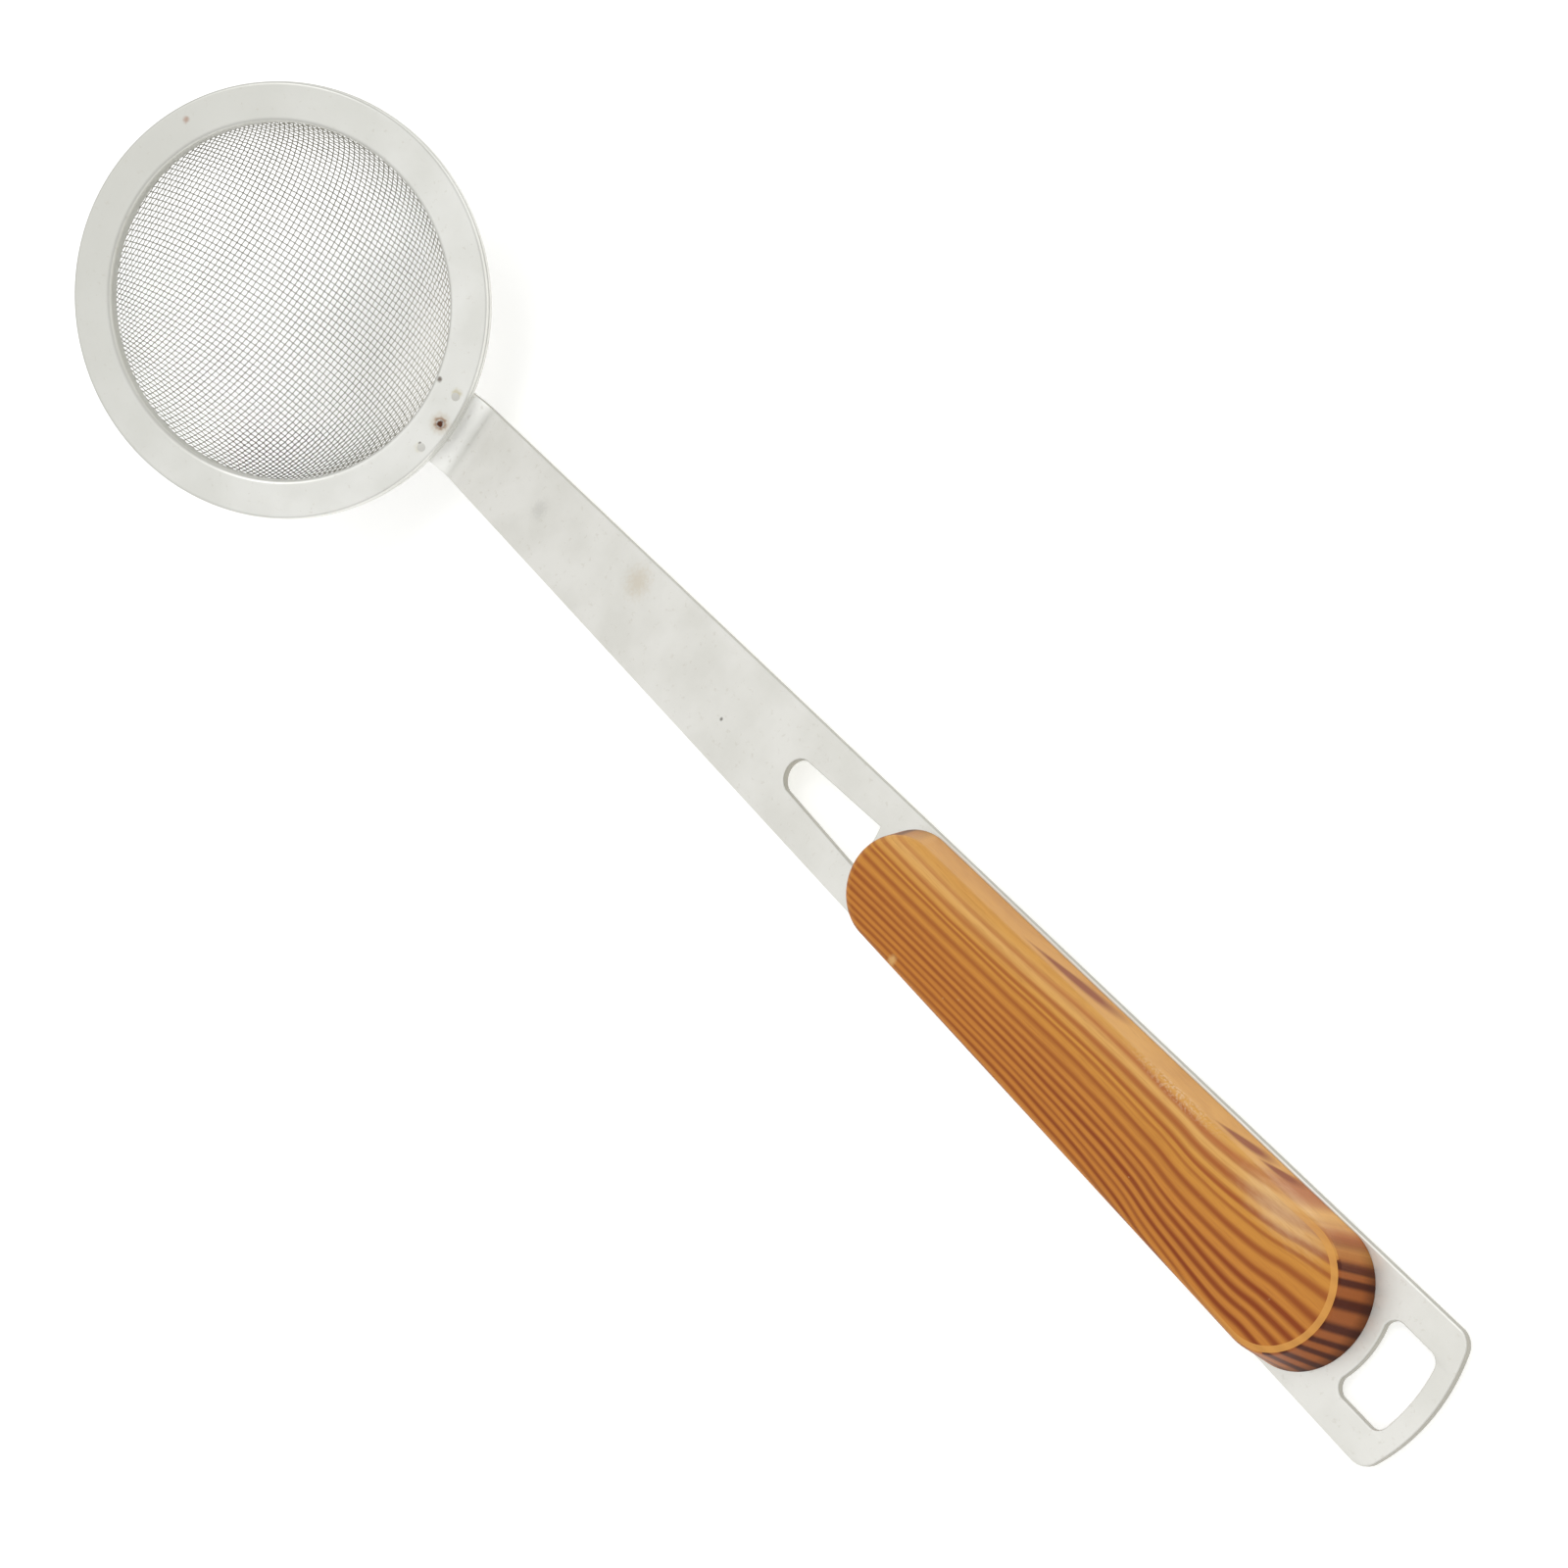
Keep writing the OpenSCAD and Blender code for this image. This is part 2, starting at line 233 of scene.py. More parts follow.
def upper_ring():
    """Spun flange and collar, with a full round into the bowl's mouth."""
    collar = MOUTH_R + COLLAR_WALL
    burr = 0.15
    ring = turned(
        "rim_upper",
        [(UPPER_R, 0), (MOUTH_R, 0), (MOUTH_R, -COLLAR_DEPTH), (collar, -COLLAR_DEPTH),
         (collar, -FLANGE), (UPPER_R, -FLANGE)],
        [((MOUTH_R, 0), 0.88, 6), ((UPPER_R, 0), 0.55, 5), ((UPPER_R, -FLANGE), 0.12, 2),
         ((MOUTH_R, -COLLAR_DEPTH), burr, 2), ((collar, -COLLAR_DEPTH), burr, 2)])
    return finish(ring, RIM, "rim_steel", "rim_upper_ring")


def lower_ring():
    """Flat ring under the cloth's brim."""
    outer_round, burr = 0.3, 0.15
    ring = turned(
        "rim_lower",
        [(RIM_R, LOWER_TOP), (LOWER_INNER_R, LOWER_TOP), (LOWER_INNER_R, LOWER_BOTTOM),
         (RIM_R, LOWER_BOTTOM)],
        [((RIM_R, LOWER_TOP), outer_round, 4), ((RIM_R, LOWER_BOTTOM), outer_round, 4),
         ((LOWER_INNER_R, LOWER_TOP), burr, 2), ((LOWER_INNER_R, LOWER_BOTTOM), burr, 2)])
    return finish(ring, RIM, "rim_steel", "rim_lower_ring")


# ---------------------------------------------------------------- wire cloth


def bowl_net():
    """Crossing points over a quarter of the bowl, keyed by wire numbers from the bottom.

    The cloth is drawn down without stretching its wires, so each stretch between two
    crossings keeps its length and the square cells lean over towards the rim."""
    r = CLOTH_R
    spare = 2.5
    top = BOWL_DROP + CLOTH_TOP + spare
    net = {}
    # A little more than the quarter circle from the bottom to the rim
    reach = 1.7 * r
    warps, wefts = int(reach / WARP_PITCH), int(reach / WEFT_PITCH)
    for i in range(warps):
        turn = 2 * math.asin(WARP_PITCH / (2 * r)) * i
        net[i, 0] = Vector((r * math.sin(turn), 0, -r * math.cos(turn)))
    for j in range(wefts):
        turn = 2 * math.asin(WEFT_PITCH / (2 * r)) * j
        net[0, j] = Vector((0, r * math.sin(turn), -r * math.cos(turn)))
    for i in range(1, warps):
        for j in range(1, wefts):
            a, b, back = net.get((i - 1, j)), net.get((i, j - 1)), net.get((i - 1, j - 1))
            if a is None or b is None:
                continue
            if min(a.z, b.z) > top:
                continue
            da, db, c = r * r - WARP_PITCH ** 2 / 2, r * r - WEFT_PITCH ** 2 / 2, a.dot(b)
            det = r ** 4 - c * c
            flat = a * ((da * r * r - db * c) / det) + b * ((db * r * r - da * c) / det)
            lift = r * r - flat.length_squared
            if lift < 0:
                continue
            across = a.cross(b).normalized() * math.sqrt(lift)
            net[i, j] = max((flat + across, flat - across), key=lambda p: (p - back).length)
    return net


def wire_path(points, top):
    """Points of one wire, cut off square where it reaches the rim."""
    path = []
    for p, q in zip(points, points[1:]):
        if p.z <= top:
            path.append(p)
            if q.z > top:
                path.append(p.lerp(q, (top - p.z) / (q.z - p.z)))
                break
    return path


def wires(name, net, along_x):
    """All the wires that run one way, crimped over and under those that cross them."""
    curve = bpy.data.curves.new(name, "CURVE")
    curve.dimensions = "3D"
    curve.bevel_depth = WIRE_R
    curve.bevel_resolution = 1
    curve.use_fill_caps = True
    count = max(cell[1 if along_x else 0] for cell in net) + 1
    for w in range(1 - count, count):
        sign = 1 if w >= 0 else -1
        halves = []
        for side in (1, -1):
            points = []
            flip_x, flip_y = (side, sign) if along_x else (sign, side)
            for step in range(len(net)):
                cell = (step, abs(w)) if along_x else (abs(w), step)
                if cell not in net:
                    break
                crimp = WIRE_R * (1 if (step * side + w) % 2 else -1) * (1 if along_x else -1)
                p = net[cell] * (1 - crimp / CLOTH_R)
                points.append(Vector((p.x * flip_x, p.y * flip_y, p.z)))
            halves.append(wire_path(points, CLOTH_TOP + BOWL_DROP))
        if min(len(half) for half in halves) >= 2:
            line = halves[1][:0:-1] + halves[0]
            add_line(curve, [(p.x, p.y, p.z - BOWL_DROP) for p in line])
    return to_mesh(name, curve)


def cloth():
    """The pressed bowl of wires, and its brim, which shows only as a line in the rim's edge."""
    net = bowl_net()
    for name, along_x in (("cloth_warp_wires", False), ("cloth_weft_wires", True)):
        yield finish(wires(name, net, along_x), RIM, "wire_cloth", "mesh_bowl", smooth=80,
                     flats=False)
    middle = -(FLANGE + SEAM / 2)
    top, bottom = middle + BRIM_T / 2, middle - BRIM_T / 2
    inner = CLOTH_R - BRIM_T / 2
    edge = turned("cloth_clamped_edge",
                  [(BRIM_R, top), (inner, top), (inner, bottom), (BRIM_R, bottom)],
                  [((inner, top), 0.15, 2), ((BRIM_R, bottom), 0.1, 1)])
    yield finish(edge, RIM, "wire_cloth")


# ---------------------------------------------------------------- handle


def strap_half(s):
    """Half the strap's width at a length along it."""
    return ROOT_W / 2 + TAPER * (s - BEND_RUN)


def strap_outline(start):
    """Outline from the tab's end at start to the arc across the far end, corners rounded."""
    slant = math.hypot(1, TAPER)
    centre = STRAP_LEN - END_R
    # A corner's middle (cs, cv) keeps its radius off the side, and lies inside the end's arc
    a = strap_half(0) - END_CORNER * slant
    b = a * TAPER - centre
    c = centre ** 2 + a ** 2 - (END_R - END_CORNER) ** 2
    cs = (-b + math.sqrt(b * b - slant * slant * c)) / slant ** 2
    cv = a + TAPER * cs
    fan = math.degrees(math.atan2(cv, cs - centre))
    half = ROOT_W / 2
    tab_x, tab_y = start + TAB_CORNER, half - TAB_CORNER
    return ([(BEND_RUN, -half)]
            + arc(cs, -cv, END_CORNER, -SQUARE_OFF, -fan, 8)
            + arc(centre, 0, END_R, -fan, fan, 2)
            + arc(cs, cv, END_CORNER, fan, SQUARE_OFF, 8)
            + [(BEND_RUN, half)]
            + arc(tab_x, tab_y, TAB_CORNER, 90, 180, 15)
            + arc(tab_x, -tab_y, TAB_CORNER, 180, 270, 15))


def slot_outline():
    """A round end, straight sides that open out, and a square end that bulges a little."""
    r, half = SLOT_NARROW / 2, SLOT_WIDE / 2
    run = SLOT_LEN - SLOT_BULGE - r
    touch = math.degrees(math.atan2(half, run) + math.acos(r / math.hypot(run, half)))
    bulge_r = (half ** 2 + SLOT_BULGE ** 2) / (2 * SLOT_BULGE)
    bulge = math.degrees(math.asin(half / bulge_r))
    x = SLOT_START + r
    return (arc(x, 0, r, touch, 360 - touch, 8)
            + arc(x + run + SLOT_BULGE - bulge_r, 0, bulge_r, -bulge, bulge, 4)
            + [(x + run, half)])


def hole_outline():
    """The hanging hole: its far side runs with the strap's end, its near side bulges in."""
    centre, r = STRAP_LEN - END_R, HOLE_CORNER
    arc_r = END_R - (STRAP_LEN - HOLE_START - HOLE_LEN)
    lobe, inner = HOLE_W / 2 - r, HOLE_START + r
    outer = centre + math.sqrt((arc_r - r) ** 2 - lobe ** 2)
    fan = math.degrees(math.atan2(lobe, outer - centre))
    bulge_r = (lobe ** 2 + HOLE_BULGE ** 2) / (2 * HOLE_BULGE)
    bulge = math.degrees(math.asin(lobe / bulge_r))
    return (arc(HOLE_START + HOLE_BULGE - bulge_r, 0, bulge_r, bulge, -bulge, 3)
            + arc(inner, -lobe, r, 180, 270, 10) + arc(outer, -lobe, r, 270, 360 - fan, 10)
            + arc(centre, 0, arc_r, -fan, fan, 3) + arc(outer, lobe, r, fan, 90, 10)
            + arc(inner, lobe, r, 90, 180, 10))


def bent(obj, start, end):
    """Bends the flat strap up out of the rim's plane between two places along it."""
    for v in obj.data.vertices:
        if v.co.x >= end:
            continue
        turn = PITCH * min(1, (end - v.co.x) / (end - start))
        r = BEND_R - v.co.z
        past = max(0, start - v.co.x)
        v.co.x = end - r * math.sin(turn) - past * math.cos(turn)
        v.co.z = BEND_R - r * math.cos(turn) + past * math.sin(turn)


def strap():
    """Punched flat, sliced across where it bends, then bent round the former."""
    bend_len = (BEND_R + STRAP_T / 2) * PITCH
    bend_start = BEND_RUN - bend_len
    tab_len = RIM_R - (LOWER_INNER_R + TAB_SETBACK)
    obj = plate("handle_strap_steel", [strap_outline(bend_start - tab_len), slot_outline(),
                                       hole_outline()], STRAP_T, STRAP_EDGE)
    bpy.ops.object.mode_set(mode="EDIT")
    cuts = 14
    for k in range(cuts + 1):
        bpy.ops.mesh.select_all(action="SELECT")
        bpy.ops.mesh.bisect(plane_co=(bend_start + bend_len * k / cuts, 0, 0),
                            plane_no=(1, 0, 0))
    bpy.ops.object.mode_set(mode="OBJECT")
    # Marks the side walls, later darkened partly as dull cut steel and partly as painted shade
    mark(obj, "sheared_and_shaded", lambda n: 1 if abs(n.z) < 0.6 else 0)
    bent(obj, bend_start, BEND_RUN)
    return finish(obj, HANDLE, "strap_steel", "handle_strap", smooth=25)


def scale_outline():
    """Outline of the wooden scale: a half round near the slot, a blunter round at the far end."""
    blunt = 0.86
    near_r = (strap_half(GRIP_START) - GRIP_INSET) / (math.hypot(1, TAPER) - TAPER)
    half = strap_half(GRIP_END) - GRIP_INSET
    far_a = half * blunt
    far_b = half - TAPER * far_a
    near = arc(GRIP_START + near_r, 0, near_r, SQUARE_OFF, 360 - SQUARE_OFF, 3)
    far = [(GRIP_END - far_a + far_a * math.cos(turn), far_b * math.sin(turn))
           for turn in (math.radians(d) for d in range(-90, 91, 3))]
    return near + far


def wooden_scale():
    """Sawn to its outline, with walls that lean in, and its upper edge rounded over."""
    deselect()
    loop = scale_outline()
    top_share, middle = (0.953, 0.9, 1), (180.4, 0, 0)
    bpy.ops.mesh.primitive_circle_add(vertices=len(loop), radius=10, fill_type="NGON")
    obj = bpy.context.object
    obj.name = "grip_scale_wood"
    for v, (x, y) in zip(obj.data.vertices, loop):
        v.co = (x, y, 0)
    bpy.ops.object.mode_set(mode="EDIT")
    bpy.ops.mesh.select_all(action="SELECT")
    bpy.ops.mesh.extrude_region_move(TRANSFORM_OT_translate={"value": (0, 0, GRIP_T)})
    bpy.ops.transform.resize(value=top_share, center_override=middle)
    bpy.ops.mesh.select_all(action="SELECT")
    bpy.ops.mesh.normals_make_consistent(inside=False)
    pick_edges(obj, lambda co: co.z > GRIP_T - 0.01)
    bpy.ops.mesh.bevel(offset=0.95, offset_type="OFFSET", segments=5, affect="EDGES")
    pick_edges(obj, lambda co: co.z < 0.01)
    bpy.ops.mesh.bevel(offset=0.12, offset_type="OFFSET", segments=2, affect="EDGES")
    bpy.ops.object.mode_set(mode="OBJECT")
    # Faces turned along the handle: the cut ends, darkened both as end grain and with painted shade
    mark(obj, "end_grain_and_shade", lambda n: min(1, max(0, 1.8 * abs(n.x) - 0.25)) if n.z < 0.5 else 0)
    mark(obj, "arris", lambda n: 1 if 0.35 < n.z < 0.995 else 0)
    return finish(obj, HANDLE, "pine", "grip_scale", smooth=30)


def weld_marks():
    """Nuggets through rim and tab, each a soft button at both faces."""
    low = LOWER_BOTTOM - STRAP_T
    core, brow, crown = 0.02, 0.02, 0.035
    for k, y in enumerate((-WELD_Y, 0, WELD_Y)):
        button = turned(f"spot_weld_{k + 1}",
                        [(NUGGET_R, brow), (core, crown), (core, low - crown), (NUGGET_R, low - brow)],
                        [((NUGGET_R, brow), 0.25, 3), ((NUGGET_R, low - brow), 0.25, 3)], steps=32)
        button.location = (math.sqrt(WELD_R ** 2 - y * y), y, 0)
        yield finish(button, RIM, "weld_rust", "spot_welds")


# ---------------------------------------------------------------- finishes


def colour(code):
    """An sRGB hex value as linear red, green, blue and alpha."""
    parts = [int(code[i:i + 2], 16) / 255 for i in (1, 3, 5)]
    return tuple(c / 12.92 if c <= 0.04045 else ((c + 0.055) / 1.055) ** 2.4
                 for c in parts) + (1,)


def add(tree, kind, inputs=None, **settings):
    """Adds a node, sets its settings, and links or fills its inputs."""
    made = tree.nodes.new(kind)
    for key, value in settings.items():
        setattr(made, key, value)
    for key, value in (inputs or {}).items():
        if isinstance(value, bpy.types.NodeSocket):
            tree.links.new(value, made.inputs[key])
        else:
            made.inputs[key].default_value = value
    return made


def material(name, place):
    """An empty material, its surface shader, and coordinates in millimetres of a frame."""
    mat = bpy.data.materials.new(name)
    mat.use_nodes = True
    tree = mat.node_tree
    tree.nodes.clear()
    shader = add(tree, "ShaderNodeBsdfPrincipled")
    add(tree, "ShaderNodeOutputMaterial", {"Surface": shader.outputs["BSDF"]})
    here = place.inverted()
    coords = add(tree, "ShaderNodeTexCoord")
    local = add(tree, "ShaderNodeMapping",
                {"Vector": coords.outputs["Object"], "Location": here.to_translation(),
                 "Rotation": here.to_euler(), "Scale": here.to_scale()})
    return mat, tree, shader, local.outputs["Vector"]


def ramp(tree, fac, stops):
    """A ramp from (position, hex colour) stops."""
    made = add(tree, "ShaderNodeValToRGB", {"Fac": fac})
    line = made.color_ramp
    while len(line.elements) < len(stops):
        line.elements.new(0.5)
    for element, (at, code) in zip(line.elements, stops):
        element.position = at
        element.color = colour(code)
    return made.outputs["Color"]


def spread(tree, value, low, high, first=0.0, last=1.0, **settings):
    """Carries values between low and high over to between first and last, held at both."""
    return add(tree, "ShaderNodeMapRange",
               {"Value": value, "From Min": low, "From Max": high, "To Min": first, "To Max": last},
               **settings).outputs["Result"]


def math_node(tree, operation, *values):
    return add(tree, "ShaderNodeMath", dict(enumerate(values)), operation=operation).outputs[0]


def axis(tree, coords, letter):
    return add(tree, "ShaderNodeSeparateXYZ", {"Vector": coords}).outputs[letter]


def patch(tree, coords, centre, inner, outer, ragged=0.4):
    """A mask that is 1 near a place and falls to 0 at the outer radius, with a ragged edge."""
    noise = add(tree, "ShaderNodeTexNoise", {"Vector": coords, "Scale": 1.6, "Detail": 3.0})
    away = add(tree, "ShaderNodeVectorMath", {0: coords, 1: centre}, operation="DISTANCE")
    shift = ragged * outer
    rough = math_node(tree, "MULTIPLY_ADD", noise.outputs["Fac"], 2 * shift, away.outputs["Value"])
    return spread(tree, rough, inner + shift, outer + shift, 1.0, 0.0,
                  interpolation_type="SMOOTHSTEP")


def blend(tree, first, second, fac):
    """Mixes two colours; 6, 7 and 2 are the colour sockets of the mixing node."""
    return add(tree, "ShaderNodeMix", {"Factor": fac, 6: first, 7: second},
               data_type="RGBA").outputs[2]


def tint(tree, under, mask, code, strength=1.0):
    """Mixes a colour over another through a mask."""
    return blend(tree, under, colour(code), math_node(tree, "MULTIPLY", mask, strength))


def spotted(tree, base, coords, spots):
    """Lays on spots, each a place, inner and outer radius, raggedness, colour and strength."""
    for centre, inner, outer, ragged, code, strength in spots:
        base = tint(tree, base, patch(tree, coords, centre, inner, outer, ragged), code, strength)
    return base


def drawn_curve(tree, value, points, low, high):
    """A smooth curve drawn through (position, height) points, for positions from 0 to 1."""
    made = add(tree, "ShaderNodeFloatCurve", {"Value": value})
    line = made.mapping.curves[0]
    while len(line.points) < len(points):
        line.points.new(0.5, 0.5)
    for point, (x, y) in zip(line.points, points):
        point.location = (x, (y - low) / (high - low))
    made.mapping.update()
    return math_node(tree, "MULTIPLY_ADD", made.outputs["Value"], high - low, low)


def stretched_noise(tree, coords, scale, detail):
    stretch = add(tree, "ShaderNodeMapping", {"Vector": coords, "Scale": scale})
    return add(tree, "ShaderNodeTexNoise", {"Vector": stretch.outputs["Vector"], "Scale": 1.0,
                                            "Detail": detail}).outputs["Fac"]


def specks(tree, coords, scale, level):
    """A mask of small scattered marks; a higher level leaves fewer."""
    noise = add(tree, "ShaderNodeTexNoise", {"Vector": coords, "Scale": scale, "Detail": 4.0,
                                             "Roughness": 0.65})
    return spread(tree, noise.outputs["Fac"], level, level + 0.06)


def steel_base(tree, coords, light, dark, blotch=0.09):
    """Faint cloudy grey of handled steel, in blotches about a centimetre across."""
    cloud = add(tree, "ShaderNodeTexNoise", {"Vector": coords, "Scale": blotch, "Detail": 4.0})
    return ramp(tree, cloud.outputs["Fac"], [(0.38, dark), (0.62, light)])


def metal(tree, shader, base, roughness, metallic=1.0):
    tree.links.new(base, shader.inputs["Base Color"])
    shader.inputs["Metallic"].default_value = metallic
    shader.inputs["Roughness"].default_value = roughness


def satin(tree, shader, coords, grain, dullest, relief):
    """Breaks up a steel's shine with a fine unevenness, from fairly bright to its dullest."""
    fine = add(tree, "ShaderNodeTexNoise", {"Vector": coords, "Scale": grain,
                                            "Detail": 5.0}).outputs["Fac"]
    tree.links.new(spread(tree, fine, 0.0, 1.0, 0.3, dullest), shader.inputs["Roughness"])
    bump = add(tree, "ShaderNodeBump", {"Height": fine, "Strength": relief, "Distance": 0.0001})
    tree.links.new(bump.outputs["Normal"], shader.inputs["Normal"])


def rim_steel():
    """Stainless steel, spun and lightly polished: a soft grey, with painted shade over the side
    away from the handle, with rust round the middle weld and small brown spots."""
    mat, tree, shader, mm = material("spun stainless steel", RIM)
    base = steel_base(tree, mm, "#E6E6E1", "#DEDED8")
    # Painted shade: the side away from the handle is darkened
    far = spread(tree, axis(tree, mm, "X"), -34.0, 20.0, 1.0, 0.0)
    base = tint(tree, base, far, "#CECEC7", 0.8)
    base = tint(tree, base, specks(tree, mm, 0.9, 0.62), "#C4C0B4", 0.35)
    row = math.sqrt(WELD_R ** 2 - WELD_Y ** 2)
    base = spotted(tree, base, mm, (((WELD_R, 0, 0), 0.9, 2.4, 0.3, "#BFAF97", 0.45),
                                    ((WELD_R, 0, 0), 0.8, 1.3, 0.4, "#9A7A62", 0.8),
                                    ((34.8, 5.9, 0), 0.2, 1.3, 0.4, "#BDB38C", 0.7),
                                    ((row - 0.3, -5.6, 0), 0.2, 1.2, 0.4, "#CFC8AE", 0.5),
                                    ((row - 0.6, -4.9, 0), 0.05, 0.4, 0.2, "#4E4A44", 0.9),
                                    ((-31.0, 16.0, 0), 0.1, 0.9, 0.4, "#A5745A", 0.6),
                                    ((30.9, 6.1, 0), 0.2, 0.7, 0.4, "#5A4A3C", 0.8)))
    metal(tree, shader, base, 0.36)
    satin(tree, shader, mm, 1.2, 0.42, 0.06)
    return mat


def strap_steel():
    """Stainless strip, tumbled after pressing: matt grey, mottled and faintly rubbed, with the
    punched side walls darkened partly as dull cut steel and partly as painted shade, and a
    painted highlight over the bend."""
    mat, tree, shader, mm = material("tumbled stainless strip", HANDLE)
    base = steel_base(tree, mm, "#E8E7E1", "#E0DFD8")
    # Painted highlight over the bend
    painted_bend_highlight = spread(tree, axis(tree, mm, "X"), 0.5, 5.0, 1.0, 0.0)
    base = tint(tree, base, painted_bend_highlight, "#FBFBF7", 0.9)
    base = tint(tree, base, specks(tree, mm, 0.8, 0.6), "#CFCBC0", 0.35)
    base = spotted(tree, base, mm, (((51.0, 3.8, 0), 0.2, 4.0, 0.5, "#CDBFA6", 0.45),
                                    ((24.0, 0.5, 0), 0.0, 2.6, 0.6, "#BDBCB6", 0.4),
                                    ((81.6, -2.3, 0), 0.1, 0.45, 0.2, "#5E5A52", 0.8)))
    # Side walls darkened partly as dull cut steel and partly as painted shade
    edge = add(tree, "ShaderNodeAttribute", attribute_name="sheared_and_shaded").outputs["Fac"]
    base = tint(tree, base, edge, "#A9A69C", 0.9)
    metal(tree, shader, base, 0.38)
    satin(tree, shader, mm, 1.5, 0.46, 0.08)
    return mat


def wire_steel():
    """Drawn stainless wire: small bright glints on grey, with a painted highlight towards the
    handle and painted shade away from it, and brown with tea low on one side."""
    mat, tree, shader, mm = material("drawn stainless wire", RIM)
    base = steel_base(tree, mm, "#A5A39A", "#959388", 0.12)
    # Spots: a painted highlight towards the handle, a brown tea stain, and painted shade away from the
    # handle
    base = spotted(tree, base, mm, (((24, 8, -15), 6.0, 26.0, 0.4, "#E0DED6", 0.9),
                                    ((11, -26, -14.5), 4.0, 14.0, 0.4, "#40341E", 0.97),
                                    ((-18, 22, -14), 1.0, 10.0, 0.4, "#6E684F", 0.5)))
    metal(tree, shader, base, 0.38)
    return mat


def weld_rust():
    """Fused steel, rusted in the middle one: a dark brown dot in a pale ring, on both faces."""
    mat, tree, shader, mm = material("rusted spot weld", RIM)
    base = steel_base(tree, mm, "#D2D1CB", "#C6C4BC")
    low = LOWER_BOTTOM - STRAP_T
    base = spotted(tree, base, mm, (((WELD_R, 0, 0), 0.35, 0.85, 0.5, "#5B3523", 1.0),
                                    ((WELD_R, 0, low), 0.3, 0.8, 0.5, "#6B4A36", 0.8)))
    metal(tree, shader, base, 0.5, metallic=0.8)
    return mat


def screw_steel():
    """Zinc-plated steel screw, dulled by use."""
    mat, tree, shader, mm = material("dulled zinc-plated steel", HANDLE)
    metal(tree, shader, steel_base(tree, mm, "#B5B3AC", "#9D9B94", 0.5), 0.45)
    return mat


def growth_layers(tree, mm):
    """Where the pine's growth layers lie: coordinates that run with them, the place across the
    scale from 0 to 1, and the way to the nearest line of summer wood, 0 on it and 1 half way to
    the next. A layer leans a little, bows to one side and fans out towards the wide end."""
    along, across, up = (axis(tree, mm, letter) for letter in "XYZ")
    run = spread(tree, along, 120.0, 230.0)
    lean = math_node(tree, "MULTIPLY_ADD", up, GRAIN_LEAN, across)
    bow = drawn_curve(tree, run, GRAIN_BOW, -2.0, 2.0)
    fan = drawn_curve(tree, run, GRAIN_FAN, 0.0, 2.0)
    layer = math_node(tree, "DIVIDE", math_node(tree, "SUBTRACT", lean, bow), fan)
    flow = add(tree, "ShaderNodeCombineXYZ", {"X": along, "Y": layer}).outputs["Vector"]
    drift = stretched_noise(tree, flow, (0.05, 0.45, 1.0), 2.0)
    wavy = math_node(tree, "MULTIPLY_ADD", drift, 0.5, layer)
    side = spread(tree, wavy, -9.7, 12.8)
    rings = drawn_curve(tree, side, GRAIN_RINGS, 0.0, 16.0)
    gap = math_node(tree, "MULTIPLY", math_node(tree, "PINGPONG", rings, 0.5), 2.0)
    return flow, side, gap


def sawn_face(tree, mm, flow, side, gap):
    """Amber spring wood with lines of summer wood of uneven width, fainter at the near end."""
    vary = stretched_noise(tree, flow, (0.012, 0.9, 1.0), 1.0)
    width = math_node(tree, "MULTIPLY_ADD", vary, 1.1, 0.3)
    depth = spread(tree, gap, 0.06, width, 1.0, 0.0, interpolation_type="SMOOTHSTEP")
    spring = ramp(tree, side, [(0.1, "#C47B30"), (0.45, "#CB8436"), (0.66, "#D4943F"),
                               (0.8, "#E4B066"), (0.88, "#D9A152"), (1.0, "#D0954A")])
    summer = ramp(tree, side, [(0.1, "#843A10"), (0.45, "#8C3E12"), (0.72, "#A45626"),
                               (0.82, "#B4683A"), (0.87, "#D39A50")])
    strength = math_node(tree, "MULTIPLY", depth, math_node(tree, "MULTIPLY_ADD", vary, 0.9, 0.45))
    faint = spread(tree, axis(tree, mm, "X"), 150.0, 205.0, 0.78, 1.0)
    return blend(tree, spring, summer, math_node(tree, "MULTIPLY", strength, faint))


def cut_end(tree, mm, gap):
    """The cut ends of the same layers, dark with oil and with painted shade, and with a painted
    shadow darkest at the foot.
    """
    broad = spread(tree, gap, 0.2, 0.75, 1.0, 0.0, interpolation_type="SMOOTHSTEP")
    wood = blend(tree, colour("#A05A2A"), colour("#50200D"), broad)
    # Painted shadow along the foot of the wall, where it meets the steel
    foot = spread(tree, axis(tree, mm, "Z"), 0.2, 2.4, 0.6, 0.0)
    return tint(tree, wood, foot, "#35170B")


